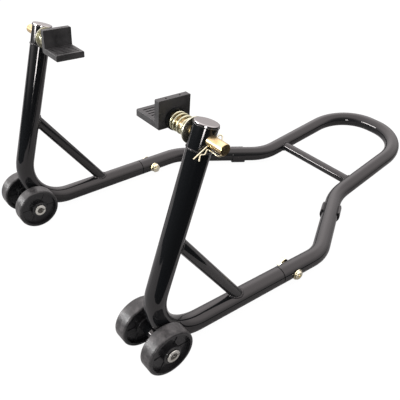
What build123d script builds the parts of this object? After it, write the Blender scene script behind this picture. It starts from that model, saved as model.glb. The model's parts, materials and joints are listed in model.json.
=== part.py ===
"""Rear paddock stand for a motorcycle, standing on its four wheels and two feet.

Two bent side tubes carry the wheels and the support pads. A bent handle tube joins them and
ends in a loop. Each pad swivels on a pin that slides through the head of its upright against
a spring, and an R-clip outside the head keeps the pin in.

Millimetres, +Z up, +X towards the handle loop, +Y to the left. The origin is on the floor, at
the middle of the stand's length and width. Every side piece is drawn on the left and mirrored.
"""

import os
from math import cos, radians, sin, tan

from build123d import *

# Tubes
TUBE_OD = 32.0
TUBE_WALL = 2.0
SPIGOT_FIT = 0.05  # radial gap between the spigot and the handle tube's bore
BRACE_OD = 19.0
CROSSBAR_OD = 20.0
SMALL_TUBE_WALL = 1.5

# Side frame, measured from the corner where the upright's and the base tube's axes meet
CORNER_X = -414.8
HALF_TRACK = 210.5
BASE_HEIGHT = 20.0
UPRIGHT_LEAN = 15.0  # degrees, towards the handle
UPRIGHT_SPLAY = 1.05  # degrees, outwards
BASE_TOE_OUT = 1.07  # degrees, outwards towards the handle
BEND_RADIUS = 82.0
SEAM_AT = 280.0  # along the base tube, where the handle tube starts
SEAM_GAP = 1.6
SPIGOT_LENGTH = 60.0
SPIGOT_OVERLAP = 20.0
BRACE_ON_UPRIGHT = 193.0
BRACE_ON_BASE = 192.0

# Head of the upright, with the heights measured along the upright's axis
HEAD_BOTTOM = 319.0
HEAD_TOP = 350.0
HEAD_WALL = 5.0
CAP_THICKNESS = 3.5
CAP_OVERHANG = 0.25
HEAD_CHAMFER = 0.8
PIN_HEIGHT = 335.2
WELD_RADIUS = 2.0
WELD_PROUD = 0.45

# Handle tube, measured from the same corner
NECK_BEND_X = 385.2
NECK_BEND_RADIUS = 82.0
WAIST_X = 563.9
WAIST_HALF_WIDTH = 107.9
WAIST_BEND_RADIUS = 110.0
LOOP_END_X = 827.7
LOOP_HALF_WIDTH = 97.5
LOOP_BEND_RADIUS = 93.0
LOOP_RISE = 49.0
CROSSBAR_X = 620.0

# Foot saddle under each neck
FOOT_X = 509.5
FOOT_LENGTH = 29.0
FOOT_OPENING = 120.0  # degrees, open at the top

# Wheels and axles
AXLE_X = 23.95
AXLE_HEIGHT = 38.0
AXLE_RADIUS = 6.0
AXLE_END_SUNK = 0.8
AXLE_DIMPLE = 1.6
WHEEL_OFFSET = 32.8
WHEEL_RADIUS = 38.0
WHEEL_WIDTH = 24.0
WHEEL_EDGE_RADIUS = 3.0
RIM_THICKNESS = 5.5
HUB_RADIUS = 14.5
HUB_PROUD = 2.0
WEB_THICKNESS = 12.0
RIB_COUNT = 6
RIB_THICKNESS = 1.6
RIB_PROUD = 1.0
SLEEVE_RADIUS = 8.5
SLEEVE_GAP = 0.3
RUNNING_FIT = 0.06

# Split retaining ring on each axle end
RETAINER_RADIUS = 10.4
RETAINER_THICKNESS = 2.4
RETAINER_SPLIT = 1.6

# Bolted joint between a side tube and the handle, M10
BOLT_AT = 310.0
BOLT_RADIUS = 5.0
BOLT_HOLE_RADIUS = 5.25
BOLT_HEAD_RADIUS = 8.2
BOLT_HEAD_HEIGHT = 4.0
SOCKET_ACROSS_FLATS = 6.0
SOCKET_DEPTH = 2.6
NUT_ACROSS_FLATS = 16.0
NUT_HEIGHT = 8.0
JOINT_WASHER_RADIUS = 10.0
JOINT_WASHER_THICKNESS = 1.6
JOINT_STANDOFF = 0.2  # clears the slight toe-out of the tubes
THREAD_PROUD = 2.5

# Support: distances along the pin are measured inwards from the head's axis
PIN_RADIUS = 7.5
PIN_OUTER_END = -41.1
PIN_INNER_END = 60.5
PIN_CHAMFER = 0.5
WASHER_RADIUS = 17.7
WASHER_THICKNESS = 2.0
WASHER_STANDOFF = 0.9  # clears the slight splay of the head
SPRING_MEAN_RADIUS = 11.6
SPRING_WIRE = 2.9
SPRING_OPEN_TURNS = 3.0
SPRING_POINTS_PER_TURN = 12
SPRING_GAP = 0.2
HUB_DISC_RADIUS = 14.4
BLIND_END_GAP = 0.3
HUB_DISC_THICKNESS = 4.6
PAD_WIDTH = 48.0
PAD_ABOVE_PIN = 27.3
PAD_BELOW_PIN = 10.6
PLATE_THICKNESS = 8.8
PLATE_INNER_FACE = 64.7
FLANGE_LENGTH = 40.0
FLANGE_THICKNESS = 9.9
PAD_EDGE_RADIUS = 1.2
GROOVE_COUNT = 5
GROOVE_PITCH = 6.2
GROOVE_WIDTH = 2.2
GROOVE_DEPTH = 1.0
GROOVE_SIDE_MARGIN = 5.0
TOP_HOLE_SPACING = 21.0
TOP_HOLE_RADIUS = 1.3
TOP_HOLE_DEPTH = 6.0

# R-clip, drawn in its own plane: x along the straight leg, y towards the wavy leg
CLIP_WIRE = 1.8
CLIP_HOLE_RADIUS = 1.0
CLIP_GAP = 0.4  # clears the slight splay of the head
CLIP_POINTS = [
    (-30.6, 0),
    (17.5, 0),
    (10.5, 6.5),
    (1.5, 22),
    (-6.5, 17.5),
    (-9.9, 2.2),
    (-16.8, 5.0),
    (-21.2, 1.7),
    (-27.4, 6.1),
]
CLIP_BENDS = [2.4, 10, 6, 6, 1.8, 2.2, 2.2]
# Each clip hangs at its own angles, in degrees: the straight leg above horizontal, then how far
# the clip's plane is turned outwards about that leg
LEFT_CLIP_ANGLES = (63.0, 0.0)
RIGHT_CLIP_ANGLES = (29.3, 45.0)

CORNER = Vector(CORNER_X, HALF_TRACK, BASE_HEIGHT)
LEAN = radians(UPRIGHT_LEAN)
UPRIGHT_DIR = Vector(sin(LEAN), tan(radians(UPRIGHT_SPLAY)), cos(LEAN)).normalized()
BASE_DIR = Vector(1, tan(radians(BASE_TOE_OUT)), 0).normalized()
BORE_RADIUS = TUBE_OD / 2 - TUBE_WALL


def on_upright(distance):
    """Point on the left upright's axis."""
    return CORNER + UPRIGHT_DIR * distance


def on_base(distance):
    """Point on the left base tube's axis."""
    return CORNER + BASE_DIR * distance


PIN_CENTRE = on_upright(PIN_HEIGHT)
AXLE_CENTRE = Vector(CORNER_X + AXLE_X, HALF_TRACK, AXLE_HEIGHT)


def rod(start, end, radius):
    """Solid round bar between two points."""
    axis = end - start
    return extrude(Plane(origin=start, z_dir=axis) * Circle(radius), amount=axis.length)


def swept_bar(path, radius):
    """Solid round bar along a path."""
    return sweep(Plane(origin=path @ 0, z_dir=path % 0) * Circle(radius), path=path)


def crosswise(centre, inner, outer, radius):
    """Round bar along Y between two distances inwards (-Y on the left) from a centre."""
    return rod(centre - Vector(0, inner, 0), centre - Vector(0, outer, 0), radius)


def hexagon_bar(centre, inner, outer, across_flats):
    """Hexagonal bar along Y between two distances inwards from a centre."""
    plane = Plane(origin=centre - Vector(0, inner, 0), x_dir=(1, 0, 0), z_dir=(0, -1, 0))
    return extrude(plane * RegularPolygon(across_flats / 2, 6, major_radius=False), amount=outer - inner)


# ------------------------------------------------------------------ side frame

def side_path():
    """Axis of the side tube, from under the head, round the bend, to the seam."""
    return FilletPolyline(on_upright(HEAD_BOTTOM), CORNER, on_base(SEAM_AT), radius=BEND_RADIUS)


def joint_hole():
    """Hole for the joint bolt, crosswise through spigot and handle tube."""
    return crosswise(on_base(BOLT_AT), -TUBE_OD, TUBE_OD, BOLT_HOLE_RADIUS)


def make_side_tube():
    """Bent tube, with the spigot that enters the handle tube fixed in its end."""
    path = side_path()
    tube = swept_bar(path, TUBE_OD / 2) - swept_bar(path, BORE_RADIUS)
    start = on_base(SEAM_AT - SPIGOT_OVERLAP)
    end = on_base(SEAM_AT + SPIGOT_LENGTH)
    spigot = rod(start, end, BORE_RADIUS) - rod(start, end, BORE_RADIUS - TUBE_WALL)
    return tube + spigot - joint_hole()


def make_brace():
    """Straight tube from upright to base tube, with both ends cut to their curve."""
    ends = on_upright(BRACE_ON_UPRIGHT), on_base(BRACE_ON_BASE)
    brace = rod(*ends, BRACE_OD / 2) - rod(*ends, BRACE_OD / 2 - SMALL_TUBE_WALL)
    return brace - swept_bar(side_path(), TUBE_OD / 2)


def top_edge(shape):
    """Edge of a shape that is furthest up the upright."""
    return shape.edges().sort_by(Axis(origin=tuple(CORNER), direction=tuple(UPRIGHT_DIR)))[-1]


def make_head():
    """Thick tube on top of the upright, bored crosswise for the pin."""
    ends = on_upright(HEAD_BOTTOM), on_upright(HEAD_TOP)
    head = rod(*ends, TUBE_OD / 2)
    head = chamfer(top_edge(head), HEAD_CHAMFER) - rod(*ends, TUBE_OD / 2 - HEAD_WALL)
    return head - crosswise(PIN_CENTRE, -TUBE_OD, TUBE_OD, PIN_RADIUS + RUNNING_FIT)


def make_head_cap():
    """Flat cap that closes the head, with a rounded top edge."""
    cap = rod(on_upright(HEAD_TOP), on_upright(HEAD_TOP + CAP_THICKNESS), TUBE_OD / 2 + CAP_OVERHANG)
    return fillet(top_edge(cap), CAP_THICKNESS * 0.4)


def make_head_weld():
    """Weld bead round the joint between upright and head."""
    seam = Plane(origin=on_upright(HEAD_BOTTOM), z_dir=UPRIGHT_DIR)
    bead = seam * Torus(TUBE_OD / 2 - WELD_RADIUS + WELD_PROUD, WELD_RADIUS)
    return bead - rod(on_upright(HEAD_BOTTOM - TUBE_OD), on_upright(HEAD_TOP), TUBE_OD / 2)


# ------------------------------------------------------------------ axle and wheels

def make_axle_sleeve():
    """Bush for the axle, welded under the bend of the side tube."""
    half = WHEEL_OFFSET - WHEEL_WIDTH / 2 - SLEEVE_GAP - HUB_PROUD / 2
    sleeve = crosswise(AXLE_CENTRE, -half, half, SLEEVE_RADIUS)
    bore = crosswise(AXLE_CENTRE, -TUBE_OD, TUBE_OD, AXLE_RADIUS + RUNNING_FIT)
    return sleeve - bore - swept_bar(side_path(), TUBE_OD / 2)


def retainer_face():
    """Distance from the side tube's axis to the near face of a retaining ring."""
    return WHEEL_OFFSET + WHEEL_WIDTH / 2 + HUB_PROUD + SLEEVE_GAP


def make_axle():
    """Plain rod through the sleeve and both wheels, with a centre mark in each end."""
    half = retainer_face() + RETAINER_THICKNESS - AXLE_END_SUNK
    axle = crosswise(AXLE_CENTRE, -half, half, AXLE_RADIUS)
    axle = chamfer(axle.edges().filter_by(GeomType.CIRCLE), 0.5)
    for end in (-half, half):
        axle -= Pos(*(AXLE_CENTRE + Vector(0, end, 0))) * Sphere(AXLE_DIMPLE)
    return axle


def make_retainer(side):
    """Split ring outside a wheel. side is +1 outside and -1 inside the frame."""
    face = AXLE_CENTRE + Vector(0, side * retainer_face(), 0)
    plane = Plane(origin=face, x_dir=(1, 0, 0), z_dir=(0, side, 0))
    ring = extrude(plane * Circle(RETAINER_RADIUS), amount=RETAINER_THICKNESS)
    ring = fillet(ring.edges().filter_by(GeomType.CIRCLE), 1.0)
    split = plane * Pos(RETAINER_RADIUS, 0, 0) * Box(RETAINER_RADIUS * 2, RETAINER_SPLIT, TUBE_OD)
    return ring - split - crosswise(AXLE_CENTRE, -2 * TUBE_OD, 2 * TUBE_OD, AXLE_RADIUS)


def make_wheel(side):
    """Moulded wheel with recessed ribbed faces. side is +1 outside and -1 inside the frame."""
    rim_inner = WHEEL_RADIUS - RIM_THICKNESS
    middle = AXLE_CENTRE + Vector(0, side * WHEEL_OFFSET, 0)
    plane = Plane(origin=middle, x_dir=(1, 0, 0), z_dir=(0, side, 0))
    tread = Cylinder(WHEEL_RADIUS, WHEEL_WIDTH)
    tread = fillet(tread.edges().filter_by(GeomType.CIRCLE), WHEEL_EDGE_RADIUS)
    rim = tread - Cylinder(rim_inner, WHEEL_WIDTH)
    web = Cylinder(rim_inner, WEB_THICKNESS)
    hub = Pos(0, 0, HUB_PROUD / 4) * Cylinder(HUB_RADIUS, WHEEL_WIDTH + HUB_PROUD * 1.5)
    hub = fillet(hub.edges().filter_by(GeomType.CIRCLE), 1.0)
    wheel = rim + web + hub
    rib_length = rim_inner - HUB_RADIUS + 2
    rib_height = WEB_THICKNESS + 2 * RIB_PROUD
    rib = Pos((rim_inner + HUB_RADIUS) / 2, 0, 0) * Box(rib_length, RIB_THICKNESS, rib_height)
    for turn in range(RIB_COUNT):
        wheel += Rot(0, 0, turn * 360 / RIB_COUNT) * rib
    wheel -= Cylinder(AXLE_RADIUS + RUNNING_FIT, WHEEL_WIDTH * 2)
    return plane * wheel


# ------------------------------------------------------------------ handle

def handle_points():
    """Corners of the handle's axis, from the left seam round the loop to the right seam."""
    left = [
        on_base(SEAM_AT + SEAM_GAP),
        on_base(NECK_BEND_X / cos(radians(BASE_TOE_OUT))),
        Vector(CORNER_X + WAIST_X, WAIST_HALF_WIDTH, BASE_HEIGHT),
        Vector(CORNER_X + LOOP_END_X, LOOP_HALF_WIDTH, BASE_HEIGHT + LOOP_RISE),
    ]
    right = [Vector(p.X, -p.Y, p.Z) for p in reversed(left)]
    return left + right


def handle_path():
    """Axis of the handle tube."""
    half = [NECK_BEND_RADIUS, WAIST_BEND_RADIUS, LOOP_BEND_RADIUS]
    return FilletPolyline(*handle_points(), radius=half + half[::-1])


def make_handle_tube():
    """Bent tube with a waist and a raised loop, drilled for the joint bolts."""
    path = handle_path()
    handle = swept_bar(path, TUBE_OD / 2) - swept_bar(path, BORE_RADIUS + SPIGOT_FIT)
    hole = joint_hole()
    return handle - hole - mirror(hole, about=Plane.XZ)


def make_crossbar():
    """Straight tube across the loop, with its ends cut to the handle's curve."""
    share = (CROSSBAR_X - WAIST_X) / (LOOP_END_X - WAIST_X)
    half = WAIST_HALF_WIDTH + share * (LOOP_HALF_WIDTH - WAIST_HALF_WIDTH)
    centre = Vector(CORNER_X + CROSSBAR_X, 0, BASE_HEIGHT + share * LOOP_RISE)
    bar = crosswise(centre, -half, half, CROSSBAR_OD / 2)
    bore = crosswise(centre, -half, half, CROSSBAR_OD / 2 - SMALL_TUBE_WALL)
    return bar - bore - swept_bar(handle_path(), TUBE_OD / 2)


def make_foot():
    """Saddle clasped round the neck of the handle, so that its underside meets the floor."""
    neck_start, neck_end = handle_points()[1:3]
    neck_dir = (neck_end - neck_start).normalized()
    along = (CORNER_X + FOOT_X - neck_start.X) / neck_dir.X
    plane = Plane(origin=neck_start + neck_dir * along, x_dir=(0, 0, 1), z_dir=neck_dir)
    ring = Circle(BASE_HEIGHT) - Circle(TUBE_OD / 2)
    reach = 2 * TUBE_OD
    half_width = reach * tan(radians(FOOT_OPENING / 2))
    opening = make_face(Polyline((0, 0), (reach, -half_width), (reach, half_width), close=True))
    return extrude(plane * (ring - opening), amount=FOOT_LENGTH / 2, both=True)


# ------------------------------------------------------------------ bolted joint

def make_joint_bolt():
    """Round-headed socket bolt from outside, through handle tube and spigot."""
    centre = on_base(BOLT_AT)
    face = TUBE_OD / 2 + JOINT_STANDOFF + JOINT_WASHER_THICKNESS
    top = face + BOLT_HEAD_HEIGHT
    head = crosswise(centre, -top, -face, BOLT_HEAD_RADIUS)
    head = fillet(head.edges().filter_by(GeomType.CIRCLE).sort_by(Axis.Y)[-1], BOLT_HEAD_HEIGHT * 0.4)
    head -= hexagon_bar(centre, -top, -top + SOCKET_DEPTH, SOCKET_ACROSS_FLATS)
    return head + crosswise(centre, -face, face + NUT_HEIGHT + THREAD_PROUD, BOLT_RADIUS)


def make_joint_nut():
    """Nut on the inside of the handle tube, with its corners just broken."""
    centre = on_base(BOLT_AT)
    face = TUBE_OD / 2 + JOINT_STANDOFF + JOINT_WASHER_THICKNESS
    nut = hexagon_bar(centre, face, face + NUT_HEIGHT, NUT_ACROSS_FLATS)
    nut &= crosswise(centre, face, face + NUT_HEIGHT, NUT_ACROSS_FLATS * 0.56)
    return nut - crosswise(centre, 0, face + TUBE_OD, BOLT_RADIUS)


def make_joint_washers():
    """Flat washers under the bolt's head and under the nut."""
    centre = on_base(BOLT_AT)
    near = TUBE_OD / 2 + JOINT_STANDOFF
    far = near + JOINT_WASHER_THICKNESS
    washers = []
    for start, end in ((-far, -near), (near, far)):
        washer = crosswise(centre, start, end, JOINT_WASHER_RADIUS)
        washers.append(washer - crosswise(centre, -TUBE_OD, TUBE_OD, BOLT_HOLE_RADIUS))
    return washers


# ------------------------------------------------------------------ support pin and pad

def make_support_washer():
    """Large flat washer on the pin, between head and spring."""
    start = TUBE_OD / 2 + WASHER_STANDOFF
    washer = crosswise(PIN_CENTRE, start, start + WASHER_THICKNESS, WASHER_RADIUS)
    washer = fillet(washer.edges().filter_by(GeomType.CIRCLE), 0.5)
    return washer - crosswise(PIN_CENTRE, -TUBE_OD, TUBE_OD, PIN_RADIUS + RUNNING_FIT)


def hub_face():
    """Distance from the head's axis to the side of the pad's hub that the spring pushes on."""
    return PLATE_INNER_FACE - PLATE_THICKNESS - HUB_DISC_THICKNESS


def make_spring():
    """Coil spring round the pin, with a closed turn at each end."""
    start = TUBE_OD / 2 + WASHER_STANDOFF + WASHER_THICKNESS + SPRING_GAP
    rise = hub_face() - SPRING_GAP - start - SPRING_WIRE
    closed_pitch = SPRING_WIRE * 1.04
    open_pitch = (rise - 2 * closed_pitch) / SPRING_OPEN_TURNS
    points = []
    for step in range(round((2 + SPRING_OPEN_TURNS) * SPRING_POINTS_PER_TURN) + 1):
        turns = step / SPRING_POINTS_PER_TURN
        closed_turns = min(turns, 1) + max(turns - 1 - SPRING_OPEN_TURNS, 0)
        height = closed_turns * closed_pitch + (turns - closed_turns) * open_pitch
        angle = radians(360 * turns)
        points.append((SPRING_MEAN_RADIUS * cos(angle), SPRING_MEAN_RADIUS * sin(angle), height))
    wire = swept_bar(Spline(*points), SPRING_WIRE / 2)
    base = PIN_CENTRE - Vector(0, start + SPRING_WIRE / 2, 0)
    return Plane(origin=base, x_dir=(1, 0, 0), z_dir=(0, -1, 0)) * wire


def clip_plane(angles):
    """Plane of an R-clip whose wire runs just outside the head, with x along its leg."""
    slope, turn = (radians(angle) for angle in angles)
    leg = Vector(cos(slope), 0, sin(slope))
    square_to_pin = Vector(sin(slope), 0, -cos(slope))
    towards_wavy_leg = square_to_pin * cos(turn) + Vector(0, 1, 0) * sin(turn)
    centre = PIN_CENTRE + Vector(0, TUBE_OD / 2 + CLIP_GAP + CLIP_WIRE / 2, 0)
    return Plane(origin=centre, x_dir=leg, z_dir=leg.cross(towards_wavy_leg))


def make_clip(plane):
    """R-clip: a straight leg through the pin and a wavy leg that passes round it."""
    path = FilletPolyline(*[plane.from_local_coords(p) for p in CLIP_POINTS], radius=CLIP_BENDS)
    return swept_bar(path, CLIP_WIRE / 2)


def make_pin(plane):
    """Round pin that slides in the head, cross-drilled along x of the clip's plane."""
    pin = crosswise(PIN_CENTRE, PIN_OUTER_END, PIN_INNER_END, PIN_RADIUS)
    pin = chamfer(pin.edges().filter_by(GeomType.CIRCLE), PIN_CHAMFER)
    reach = plane.x_dir * PIN_RADIUS * 2
    return pin - rod(plane.origin - reach, plane.origin + reach, CLIP_HOLE_RADIUS)


def pin_bore():
    """Blind bore of the pad and its hub, in which they turn on the pin's end."""
    return crosswise(PIN_CENTRE, 0, PIN_INNER_END + BLIND_END_GAP, PIN_RADIUS + RUNNING_FIT)


def make_pad_hub():
    """Round boss on the back of the pad."""
    hub = crosswise(PIN_CENTRE, hub_face(), hub_face() + HUB_DISC_THICKNESS, HUB_DISC_RADIUS)
    return hub - pin_bore()


def make_pad():
    """L-shaped pad: an upright plate, and a grooved flange that points inwards."""
    height = PAD_ABOVE_PIN + PAD_BELOW_PIN
    plate = Pos(0, PLATE_THICKNESS / 2, height / 2) * Box(PAD_WIDTH, PLATE_THICKNESS, height)
    flange_length = FLANGE_LENGTH + PLATE_THICKNESS / 2
    flange = Pos(0, PLATE_THICKNESS / 2 - flange_length / 2, FLANGE_THICKNESS / 2) * Box(
        PAD_WIDTH, flange_length, FLANGE_THICKNESS
    )
    pad = plate + flange
    pad = fillet(pad.edges().filter_by(Axis.Y), PAD_EDGE_RADIUS)
    tread = PAD_WIDTH - 2 * GROOVE_SIDE_MARGIN
    for row in range(GROOVE_COUNT):
        y = -FLANGE_LENGTH / 2 + (row - (GROOVE_COUNT - 1) / 2) * GROOVE_PITCH
        pad -= Pos(0, y, FLANGE_THICKNESS) * Box(tread, GROOVE_WIDTH, 2 * GROOVE_DEPTH)
    for x in (-TOP_HOLE_SPACING / 2, TOP_HOLE_SPACING / 2):
        pad -= Pos(x, PLATE_THICKNESS / 2, height) * Cylinder(TOP_HOLE_RADIUS, 2 * TOP_HOLE_DEPTH)
    corner = PIN_CENTRE - Vector(0, PLATE_INNER_FACE, PAD_BELOW_PIN)
    return Pos(*corner) * pad - pin_bore()


# ------------------------------------------------------------------ nodes

LEFT_CLIP_PLANE = clip_plane(LEFT_CLIP_ANGLES)
RIGHT_CLIP_PLANE = clip_plane(RIGHT_CLIP_ANGLES)
MIRRORED_PIECES = {
    "side_tube": make_side_tube(),
    "brace": make_brace(),
    "head": make_head(),
    "head_cap": make_head_cap(),
    "axle_sleeve": make_axle_sleeve(),
    "axle": make_axle(),
    "outer_wheel": make_wheel(+1),
    "inner_wheel": make_wheel(-1),
    "foot": make_foot(),
    "washer": make_support_washer(),
    "spring": make_spring(),
    "pad_hub": make_pad_hub(),
    "pad": make_pad(),
}
LEFT_ONLY_PIECES = {
    "pin": make_pin(LEFT_CLIP_PLANE),
    "clip": make_clip(LEFT_CLIP_PLANE),
}
RIGHT_ONLY_PIECES = {  # drawn on the left
    "pin": make_pin(RIGHT_CLIP_PLANE),
    "clip": make_clip(RIGHT_CLIP_PLANE),
}
GROUPED_PIECES = {
    "head_welds": [make_head_weld()],
    "axle_retainers": [make_retainer(+1), make_retainer(-1)],
    "joint_bolts": [make_joint_bolt()],
    "joint_nuts": [make_joint_nut()],
    "joint_washers": make_joint_washers(),
}
CENTRE_PIECES = {
    "handle_tube": make_handle_tube(),
    "crossbar": make_crossbar(),
}


def all_nodes():
    """Every node by name: the centre, each side's pieces and the groups."""
    nodes = dict(CENTRE_PIECES)
    for name, piece in (MIRRORED_PIECES | LEFT_ONLY_PIECES).items():
        nodes["left_" + name] = piece
    for name, piece in (MIRRORED_PIECES | RIGHT_ONLY_PIECES).items():
        nodes["right_" + name] = mirror(piece, about=Plane.XZ)
    for name, pieces in GROUPED_PIECES.items():
        both_sides = pieces + [mirror(piece, about=Plane.XZ) for piece in pieces]
        nodes[name] = Compound(children=[solid for piece in both_sides for solid in piece.solids()])
    return nodes


os.makedirs("parts", exist_ok=True)
for node, shape in all_nodes().items():
    export_step(shape, f"parts/{node}.step")
    print(f"{node}: {len(shape.solids())} solid(s), {shape.volume / 1000:.1f} cm3, valid {shape.is_valid}")
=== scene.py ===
"""Looks of the paddock stand: materials, weld beads, light and the photograph's camera.

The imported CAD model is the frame. Metres, +Z up, +X towards the handle loop, +Y to the left.
"""

import json
from math import cos, pi, radians, sin, tan

import bpy
from mathutils import Matrix, Vector, noise


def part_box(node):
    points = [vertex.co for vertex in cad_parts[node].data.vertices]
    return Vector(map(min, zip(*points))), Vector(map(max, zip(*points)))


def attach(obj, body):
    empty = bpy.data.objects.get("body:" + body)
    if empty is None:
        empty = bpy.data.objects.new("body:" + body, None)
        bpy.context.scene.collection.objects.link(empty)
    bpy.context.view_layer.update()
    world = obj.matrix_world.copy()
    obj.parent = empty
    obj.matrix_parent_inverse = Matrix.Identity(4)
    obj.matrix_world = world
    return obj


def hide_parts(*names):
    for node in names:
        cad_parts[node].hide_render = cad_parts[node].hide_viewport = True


# Left side frame, as in the CAD model: the corner where the axes of upright and base tube meet, the
# directions of both tubes from it, and places along them
CORNER = Vector((-0.4148, 0.2105, 0.020))
UPRIGHT_LEAN = radians(15)
UPRIGHT_SPLAY = radians(1.05)
BASE_TOE_OUT = radians(1.07)
UPRIGHT_DIR = Vector((sin(UPRIGHT_LEAN), tan(UPRIGHT_SPLAY), cos(UPRIGHT_LEAN))).normalized()
BASE_DIR = Vector((1, tan(BASE_TOE_OUT), 0)).normalized()
HEAD_BOTTOM = 0.319
HEAD_TOP = 0.350
BRACE_TOP = CORNER + UPRIGHT_DIR * 0.193
BRACE_FOOT = CORNER + BASE_DIR * 0.192
MIRROR = Matrix.Scale(-1, 4, Vector((0, 1, 0)))

# Outer radii of the tubes that beads run round
TUBE_RADIUS = 0.016
BRACE_RADIUS = 0.0095
CROSSBAR_RADIUS = 0.010

# Weld beads: their radii, and how deep the middle of those round the heads lies in the tube
HEAD_BEAD = 0.0015
HEAD_BEAD_SINK = 0.0006
CAP_BEAD = 0.0009
CAP_BEAD_SINK = 0.0002
BRACE_BEAD = 0.0022
CROSSBAR_BEAD = 0.0020

# Unevenness of a bead: ripples along it, lumps in its thickness and a wandering middle
RING_POINTS = 160
POINTS_PER_RIPPLE = 6
LEAST_RIPPLES = 8
RIPPLE_SHARE = 0.10
LUMP_SHARE = 0.22
LUMP_FREQUENCY = 220
WANDER = 0.0003
WANDER_FREQUENCY = 300
WANDER_SEED = 1

# Wheels: the wear of the tread begins and is complete at these radii
TREAD_STARTS = 0.0345
TREAD_FULL = 0.0372

# Camera, from a fit to the photograph
CAMERA_PLACE = (-0.6918, -0.6378, 0.6314)
CAMERA_YAW = radians(48.91)
CAMERA_PITCH = radians(34.29)
CAMERA_ROLL = radians(-3.98)
SENSOR_WIDTH = 36
FOCAL_LENGTH = 47.63
CAMERA_SHIFT = (-0.00125, 0.00125)
CAMERA_REACH = 50

# The floor lies just under the wheels, and the sheet of paper just under the floor
FLOOR_HALF_WIDTH = 8
FLOOR_HEIGHT = -0.0006
PAPER_HEIGHT = -0.0012

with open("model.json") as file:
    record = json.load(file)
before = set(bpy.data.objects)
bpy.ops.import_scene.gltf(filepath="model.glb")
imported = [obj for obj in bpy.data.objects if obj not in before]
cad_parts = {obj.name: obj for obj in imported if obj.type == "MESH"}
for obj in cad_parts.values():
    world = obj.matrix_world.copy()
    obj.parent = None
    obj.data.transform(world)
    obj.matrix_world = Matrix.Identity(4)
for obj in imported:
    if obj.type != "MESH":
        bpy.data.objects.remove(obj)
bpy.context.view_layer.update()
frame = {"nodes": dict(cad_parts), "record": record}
NODES = frame["nodes"]


# ------------------------------------------------------------------ camera

def add_camera():
    """Camera at the photograph's place, from its position, its bearing and its field of view."""
    forward = Vector((
        cos(CAMERA_PITCH) * cos(CAMERA_YAW),
        cos(CAMERA_PITCH) * sin(CAMERA_YAW),
        -sin(CAMERA_PITCH),
    ))
    level = Vector((sin(CAMERA_YAW), -cos(CAMERA_YAW), 0))
    below = forward.cross(level)
    right = level * cos(CAMERA_ROLL) + below * sin(CAMERA_ROLL)
    down = forward.cross(right)
    turn = Matrix((right, -down, -forward)).transposed().to_4x4()
    data = bpy.data.cameras.new("camera")
    data.sensor_width = SENSOR_WIDTH
    data.lens = FOCAL_LENGTH
    data.shift_x, data.shift_y = CAMERA_SHIFT
    data.clip_end = CAMERA_REACH
    camera = bpy.data.objects.new("camera", data)
    camera.matrix_world = Matrix.Translation(CAMERA_PLACE) @ turn
    bpy.context.scene.collection.objects.link(camera)
    bpy.context.scene.camera = camera


# ------------------------------------------------------------------ shader helpers

def set_range(node, start, end, low, high):
    """Sets a Map Range node to map start..end onto low..high."""
    sockets = ("From Min", "From Max", "To Min", "To Max")
    for socket, value in zip(sockets, (start, end, low, high)):
        node.inputs[socket].default_value = value


class Shader:
    """A material under construction, with short calls for the nodes that the finishes share."""

    def __init__(self, name, metallic=0.0):
        self.material = bpy.data.materials.new(name)
        self.material.use_nodes = True
        self.tree = self.material.node_tree
        self.bsdf = self.tree.nodes["Principled BSDF"]
        self.bsdf.inputs["Metallic"].default_value = metallic
        self.place = self.node("ShaderNodeTexCoord").outputs["Object"]

    def node(self, kind, **inputs):
        """New node, with its input sockets set or linked by name."""
        made = self.tree.nodes.new(kind)
        for socket, value in inputs.items():
            self.plug(made.inputs[socket.replace("_", " ")], value)
        return made

    def plug(self, socket, value):
        """Links an output into a socket, or sets the socket to a constant."""
        if isinstance(value, bpy.types.NodeSocket):
            self.tree.links.new(value, socket)
        else:
            socket.default_value = value

    def noise(self, scale, stretch=(1, 1, 1), detail=3.0, roughness=0.55):
        """Noise from 0 to 1, whose frequency along each axis is multiplied by the stretch."""
        mapping = self.node("ShaderNodeMapping", Vector=self.place, Scale=stretch)
        made = self.node("ShaderNodeTexNoise", Vector=mapping.outputs[0], Scale=scale, Detail=detail)
        made.inputs["Roughness"].default_value = roughness
        return made.outputs["Fac"]

    def span(self, value, low, high, start=0.3, end=0.7):
        """Maps start..end of a value onto low..high."""
        made = self.node("ShaderNodeMapRange", Value=value)
        set_range(made, start, end, low, high)
        return made.outputs["Result"]

    def blend(self, factor, first, second):
        """Mixes two colours by a factor."""
        made = self.tree.nodes.new("ShaderNodeMix")
        made.data_type = "RGBA"
        self.plug(made.inputs["Factor"], factor)
        for socket, colour in (("A", first), ("B", second)):
            linked = isinstance(colour, bpy.types.NodeSocket)
            target = [s for s in made.inputs if s.name == socket and s.type == "RGBA"][0]
            self.plug(target, colour if linked else (*colour, 1))
        return [s for s in made.outputs if s.type == "RGBA"][0]

    def math(self, operation, first, second):
        """Arithmetic on two values."""
        made = self.tree.nodes.new("ShaderNodeMath")
        made.operation = operation
        self.plug(made.inputs[0], first)
        self.plug(made.inputs[1], second)
        return made.outputs[0]

    def bump(self, height, distance, strength, under=None):
        """Bump whose full height is a distance in metres, over an earlier bump if there is one."""
        made = self.node("ShaderNodeBump", Height=height, Distance=distance, Strength=strength)
        if under:
            self.plug(made.inputs["Normal"], under)
        return made.outputs["Normal"]

    def finish(self, color, roughness, normal):
        """Sets or links colour, roughness and normal, and returns the material."""
        for socket, value in (("Base Color", color), ("Roughness", roughness), ("Normal", normal)):
            self.plug(self.bsdf.inputs[socket], value)
        return self.material


# ------------------------------------------------------------------ finishes

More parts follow.
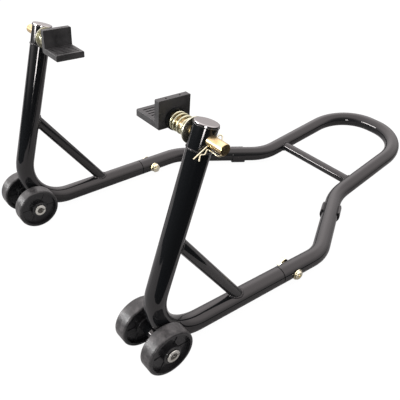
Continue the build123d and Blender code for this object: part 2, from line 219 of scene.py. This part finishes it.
def gloss_enamel(name, ior=1.5):
    """Gloss black enamel: a faint orange peel, and polish that varies a little. A higher index of
    refraction gives a stronger reflection."""
    s = Shader(name)
    s.bsdf.inputs["IOR"].default_value = ior
    s.bsdf.inputs["Specular Tint"].default_value = (1.0, 0.95, 0.94, 1)
    peel = s.noise(260, detail=1.0)
    ripple = s.noise(45, detail=2.0)
    normal = s.bump(ripple, 0.0004, 0.015, under=s.bump(peel, 0.0001, 0.02))
    polish = s.span(s.noise(14), 0.04, 0.09)
    return s.finish(color=(0.0065, 0.0072, 0.0080, 1), roughness=polish, normal=normal)


def wheel_plastic(name, axle):
    """Satin moulded plastic, lighter and scuffed on the tread. The axle is the wheel's middle."""
    s = Shader(name)
    s.bsdf.inputs["Specular IOR Level"].default_value = 0.42
    shift = s.node("ShaderNodeVectorMath", Vector=s.place)
    shift.operation = "SUBTRACT"
    shift.inputs[1].default_value = axle
    split = s.node("ShaderNodeSeparateXYZ", Vector=shift.outputs[0])
    flat = s.node("ShaderNodeCombineXYZ", X=split.outputs["X"], Z=split.outputs["Z"])
    length = s.node("ShaderNodeVectorMath", Vector=flat.outputs[0])
    length.operation = "LENGTH"
    radius = length.outputs["Value"]
    tread = s.span(radius, 0.0, 1.0, start=TREAD_STARTS, end=TREAD_FULL)
    lines = s.noise(60, stretch=(1, 40, 1), detail=4.0)
    blotch = s.noise(90, detail=6.0, roughness=0.7)
    smear = s.noise(26, stretch=(1, 3, 1), detail=4.0)
    scuff = s.math("MULTIPLY", s.span(blotch, 0.0, 1.0, start=0.45, end=0.70), tread)
    plain = s.blend(tread, (0.009, 0.009, 0.010), (0.019, 0.0185, 0.019))
    color = s.blend(scuff, plain, (0.070, 0.066, 0.066))
    worn = s.math("MULTIPLY", s.span(blotch, 0.0, 0.16), tread)
    rough = s.math("ADD", s.span(smear, 0.20, 0.34), worn)
    grain = s.noise(900, detail=1.0)
    normal = s.bump(lines, 0.0002, 0.6, under=s.bump(grain, 0.00005, 0.3))
    return s.finish(color=color, roughness=rough, normal=normal)


def pad_rubber():
    """Matt moulded rubber, with a fine grain and dusty patches."""
    s = Shader("pad_rubber")
    cloud = s.noise(55, detail=5.0, roughness=0.65)
    color = s.blend(s.span(cloud, 0.0, 1.0), (0.013, 0.013, 0.0135), (0.032, 0.031, 0.032))
    grain = s.noise(1600, detail=2.0)
    normal = s.bump(grain, 0.00008, 0.5)
    return s.finish(color=color, roughness=s.span(cloud, 0.42, 0.62), normal=normal)


def zinc(name, pale, deep, tint, rough=(0.14, 0.30), stretch=(1, 1, 1)):
    """Zinc plating, whose tint drifts and which keeps the drawing marks of the steel under it."""
    s = Shader(name, metallic=1.0)
    drift = s.noise(60, detail=3.0)
    warm = s.blend(s.span(drift, 0.0, 1.0), pale, deep)
    tinted = s.span(s.noise(90, detail=2.0), 0.0, 0.35, start=0.5, end=0.8)
    color = s.blend(tinted, warm, tint)
    marks = s.noise(420, stretch=stretch, detail=3.0)
    normal = s.bump(marks, 0.00010, 0.35)
    return s.finish(color=color, roughness=s.span(marks, *rough), normal=normal)


def worn_steel(name, clean, stained):
    """Plain steel, clean in places and stained and a little rougher in others."""
    s = Shader(name, metallic=1.0)
    cloud = s.noise(220, detail=4.0)
    color = s.blend(s.span(cloud, 0.0, 1.0), clean, stained)
    normal = s.bump(cloud, 0.0001, 0.3)
    return s.finish(color=color, roughness=s.span(cloud, 0.18, 0.38), normal=normal)


def axle_middle(side, which):
    """Middle of a wheel, from its CAD box."""
    low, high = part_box(f"{side}_{which}_wheel")
    return (low + high) / 2


def paint():
    """Gives every CAD node its finish, and returns the enamel for the weld beads."""
    enamel = gloss_enamel("gloss_enamel")
    cap_enamel = gloss_enamel("cap_enamel", ior=4.0)
    rubber = pad_rubber()
    steel = worn_steel("ring_steel", (0.82, 0.82, 0.78), (0.55, 0.54, 0.48))
    dark_steel = worn_steel("axle_steel", (0.17, 0.165, 0.15), (0.06, 0.055, 0.05))
    drawn = {"rough": (0.24, 0.42), "stretch": (1, 0.05, 1)}
    gold = zinc("gold_zinc", (0.66, 0.52, 0.31), (0.46, 0.33, 0.14), (0.70, 0.55, 0.44), **drawn)
    bolts = zinc("bolt_zinc", (0.86, 0.82, 0.66), (0.60, 0.54, 0.36), (0.88, 0.85, 0.74))
    pale = zinc(
        "pale_zinc", (0.66, 0.65, 0.49), (0.44, 0.42, 0.27), (0.74, 0.73, 0.61), rough=(0.24, 0.42)
    )
    washers = zinc(
        "washer_zinc", (0.62, 0.61, 0.51), (0.45, 0.44, 0.34), (0.70, 0.69, 0.61), rough=(0.30, 0.45)
    )
    wire = zinc(
        "clip_wire", (0.92, 0.88, 0.70), (0.78, 0.70, 0.46), (0.92, 0.86, 0.78), rough=(0.22, 0.38)
    )
    by_slot = {
        "frame_paint": enamel,
        "pad_rubber": rubber,
        "bright_steel": steel,
        "gold_zinc": gold,
        "pale_zinc": pale,
    }
    for part in frame["record"]["subparts"]:
        node = part["node"]
        if node.endswith("_wheel"):
            side, which = node.split("_")[:2]
            material = wheel_plastic(f"{node}_plastic", axle_middle(side, which))
        elif node.endswith("_axle"):
            material = dark_steel
        elif node.endswith("_clip"):
            material = wire
        elif node.endswith("_washer"):
            material = washers
        elif node.startswith("joint_"):
            material = bolts
        elif node.endswith("_pad_hub"):
            material = enamel
        elif node.endswith("_head_cap"):
            material = cap_enamel
        else:
            material = by_slot[part["material_slot"]]
        data = NODES[node].data
        data.materials.clear()
        data.materials.append(material)
    return enamel


# ------------------------------------------------------------------ weld beads

def ring_round(centre, axis, radius):
    """Points of a circle."""
    side = axis.orthogonal().normalized()
    other = axis.cross(side)
    angles = [2 * pi * step / RING_POINTS for step in range(RING_POINTS)]
    return [centre + (side * cos(angle) + other * sin(angle)) * radius for angle in angles]


def ring_where_met(start, towards, radius, target):
    """Closed line where a round tube, which runs from start towards a point, meets a node."""
    axis = (towards - start).normalized()
    to_local = NODES[target].matrix_world.inverted()
    points = []
    for origin in ring_round(start, axis, radius):
        found, place, _, _ = NODES[target].ray_cast(to_local @ origin, to_local.to_3x3() @ axis)
        if found:
            points.append(NODES[target].matrix_world @ place)
    return points


def add_beads(name, lines, radius, material):
    """Weld beads of a mean radius along closed lines, as one piece with ripples of uneven size."""
    curve = bpy.data.curves.new(name, "CURVE")
    curve.dimensions = "3D"
    curve.bevel_depth = radius
    curve.bevel_resolution = 5
    for line in lines:
        spline = curve.splines.new("POLY")
        spline.points.add(len(line) - 1)
        spline.use_cyclic_u = True
        ripples = max(LEAST_RIPPLES, round(len(line) / POINTS_PER_RIPPLE))
        for index, place in enumerate(line):
            ripple = cos(2 * pi * ripples * index / len(line))
            lump = noise.noise(place * LUMP_FREQUENCY)
            wander = noise.noise_vector(place * WANDER_FREQUENCY) * WANDER
            spline.points[index].co = (*(place + wander), 1)
            spline.points[index].radius = 1 + RIPPLE_SHARE * ripple + LUMP_SHARE * lump
    drawn = bpy.data.objects.new(name + "_line", curve)
    bpy.context.scene.collection.objects.link(drawn)
    bpy.context.view_layer.update()
    mesh = bpy.data.meshes.new_from_object(drawn)
    bpy.data.objects.remove(drawn)
    mesh.name = name
    mesh.materials.clear()
    mesh.materials.append(material)
    mesh.shade_smooth()
    bead = bpy.data.objects.new(name, mesh)
    bpy.context.scene.collection.objects.link(bead)
    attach(bead, "frame")
    return bead


def on_both_sides(line):
    """The line and its mirror image."""
    return [line, [MIRROR @ place for place in line]]


def add_welds(material):
    """Beads round the heads, at both ends of each brace and at the ends of the crossbar."""
    noise.seed_set(WANDER_SEED)  # unseeded, noise_vector gives other beads in each run
    ring = ring_round(
        CORNER + UPRIGHT_DIR * HEAD_BOTTOM, UPRIGHT_DIR, TUBE_RADIUS - HEAD_BEAD_SINK
    )
    head_beads = add_beads("head_weld_beads", on_both_sides(ring), HEAD_BEAD, material)
    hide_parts("head_welds")
    ring = ring_round(CORNER + UPRIGHT_DIR * HEAD_TOP, UPRIGHT_DIR, TUBE_RADIUS - CAP_BEAD_SINK)
    add_beads("cap_weld_beads", on_both_sides(ring), CAP_BEAD, material)
    middle = (BRACE_TOP + BRACE_FOOT) / 2
    for end, place in (("top", BRACE_TOP), ("foot", BRACE_FOOT)):
        ring = ring_where_met(middle, place, BRACE_RADIUS, "left_side_tube")
        add_beads(f"brace_{end}_beads", on_both_sides(ring), BRACE_BEAD, material)
    low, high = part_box("crossbar")
    centre = (low + high) / 2
    ring = ring_where_met(centre, centre + Vector((0, 1, 0)), CROSSBAR_RADIUS, "handle_tube")
    add_beads("crossbar_beads", on_both_sides(ring), CROSSBAR_BEAD, material)


# ------------------------------------------------------------------ light and floor

def add_world():
    """White to the camera. For light and reflections, a bright room that is dark below the horizon,
    dim on the camera's side, and brightest high up at the back."""
    world = bpy.data.worlds.new("studio")
    bpy.context.scene.world = world
    world.use_nodes = True
    tree = world.node_tree
    tree.nodes.clear()
    link = tree.links.new
    place = tree.nodes.new("ShaderNodeTexCoord").outputs["Generated"]

    def towards(direction, start, end, low, high):
        """Goes smoothly from low to high as the cosine of a ray's angle to a direction goes from
        start to end."""
        dot = tree.nodes.new("ShaderNodeVectorMath")
        dot.operation = "DOT_PRODUCT"
        dot.inputs[1].default_value = Vector(direction).normalized()
        link(place, dot.inputs[0])
        ramp = tree.nodes.new("ShaderNodeMapRange")
        ramp.interpolation_type = "SMOOTHSTEP"
        set_range(ramp, start, end, low, high)
        link(dot.outputs["Value"], ramp.inputs["Value"])
        return ramp.outputs["Result"]

    def combine(operation, first, second):
        """Arithmetic on two outputs."""
        made = tree.nodes.new("ShaderNodeMath")
        made.operation = operation
        link(first, made.inputs[0])
        link(second, made.inputs[1])
        return made.outputs[0]

    up = (0, 0, 1)
    room = towards((-0.62, -0.75, 0.0), start=0.35, end=0.85, low=1.35, high=0.25)
    back = towards((0.15, 0.90, 0.35), start=0.45, end=0.95, low=0.0, high=0.5)
    above = towards(up, start=-0.06, end=0.01, low=0.02, high=1.0)
    height = towards(up, start=0.05, end=0.70, low=0.63, high=1.50)
    strength = combine("MULTIPLY", combine("ADD", room, back), combine("MULTIPLY", above, height))
    seen = tree.nodes.new("ShaderNodeBackground")
    lit = tree.nodes.new("ShaderNodeBackground")
    seen.inputs["Color"].default_value = (1, 1, 1, 1)
    lit.inputs["Color"].default_value = (1.0, 0.95, 0.955, 1)
    link(strength, lit.inputs["Strength"])
    mix = tree.nodes.new("ShaderNodeMixShader")
    link(tree.nodes.new("ShaderNodeLightPath").outputs["Is Camera Ray"], mix.inputs["Fac"])
    link(lit.outputs[0], mix.inputs[1])
    link(seen.outputs[0], mix.inputs[2])
    link(mix.outputs[0], tree.nodes.new("ShaderNodeOutputWorld").inputs["Surface"])


def sheet_material(name, strength, diffuse):
    """Matt surface that glows white, over a diffuse grey that takes light and shadows."""
    material = bpy.data.materials.new(name)
    material.use_nodes = True
    bsdf = material.node_tree.nodes["Principled BSDF"]
    bsdf.inputs["Base Color"].default_value = (diffuse, diffuse, diffuse, 1)
    bsdf.inputs["Roughness"].default_value = 1.0
    bsdf.inputs["Specular IOR Level"].default_value = 0.0
    bsdf.inputs["Emission Color"].default_value = (1, 1, 1, 1)
    bsdf.inputs["Emission Strength"].default_value = strength
    return material


def add_sheet(name, low, high, height, material):
    """Flat rectangle on the floor, which isn't part of the object."""
    mesh = bpy.data.meshes.new(name)
    corners = [(low[0], low[1]), (high[0], low[1]), (high[0], high[1]), (low[0], high[1])]
    mesh.from_pydata([(x, y, height) for x, y in corners], [], [(0, 1, 2, 3)])
    mesh.materials.append(material)
    sheet = bpy.data.objects.new(name, mesh)
    bpy.context.scene.collection.objects.link(sheet)
    return sheet


def add_floor():
    """The floor that the camera sees, and a grey sheet of paper that only shows in reflections and
    bounced light."""
    white = sheet_material("floor_white", strength=0.965, diffuse=0.05)
    grey = sheet_material("paper_grey", strength=0.0, diffuse=0.32)
    low, high = (-FLOOR_HALF_WIDTH, -FLOOR_HALF_WIDTH), (FLOOR_HALF_WIDTH, FLOOR_HALF_WIDTH)
    floor = add_sheet("floor", low, high, FLOOR_HEIGHT, white)
    floor.visible_glossy = False
    floor.visible_diffuse = False
    floor.visible_shadow = False
    paper = add_sheet("paper", (-0.95, -0.36), (0.9, 3.0), PAPER_HEIGHT, grey)
    paper.visible_camera = False
    paper.visible_shadow = False


def add_softbox(name, place, target, size, power):
    """Rectangular area light that faces a point."""
    data = bpy.data.lights.new(name, "AREA")
    data.shape = "RECTANGLE"
    data.size, data.size_y = size
    data.energy = power
    light = bpy.data.objects.new(name, data)
    light.location = place
    light.rotation_euler = (Vector(target) - Vector(place)).to_track_quat("-Z", "Y").to_euler()
    bpy.context.scene.collection.objects.link(light)


def add_lights():
    """A long softbox at the wheels' end, on the left, and a small one low down behind the camera."""
    add_softbox("left_softbox", (-1.9, 1.05, 0.62), (-0.2, 0, 0.10), size=(1.4, 0.28), power=42)
    add_softbox("front_strip", (-1.46, -1.39, 0.25), (-0.36, 0.21, 0.25), size=(0.35, 0.30), power=9)


scene = bpy.context.scene
scene.view_settings.view_transform = "Standard"
add_camera()
add_welds(paint())
add_world()
add_floor()
add_lights()
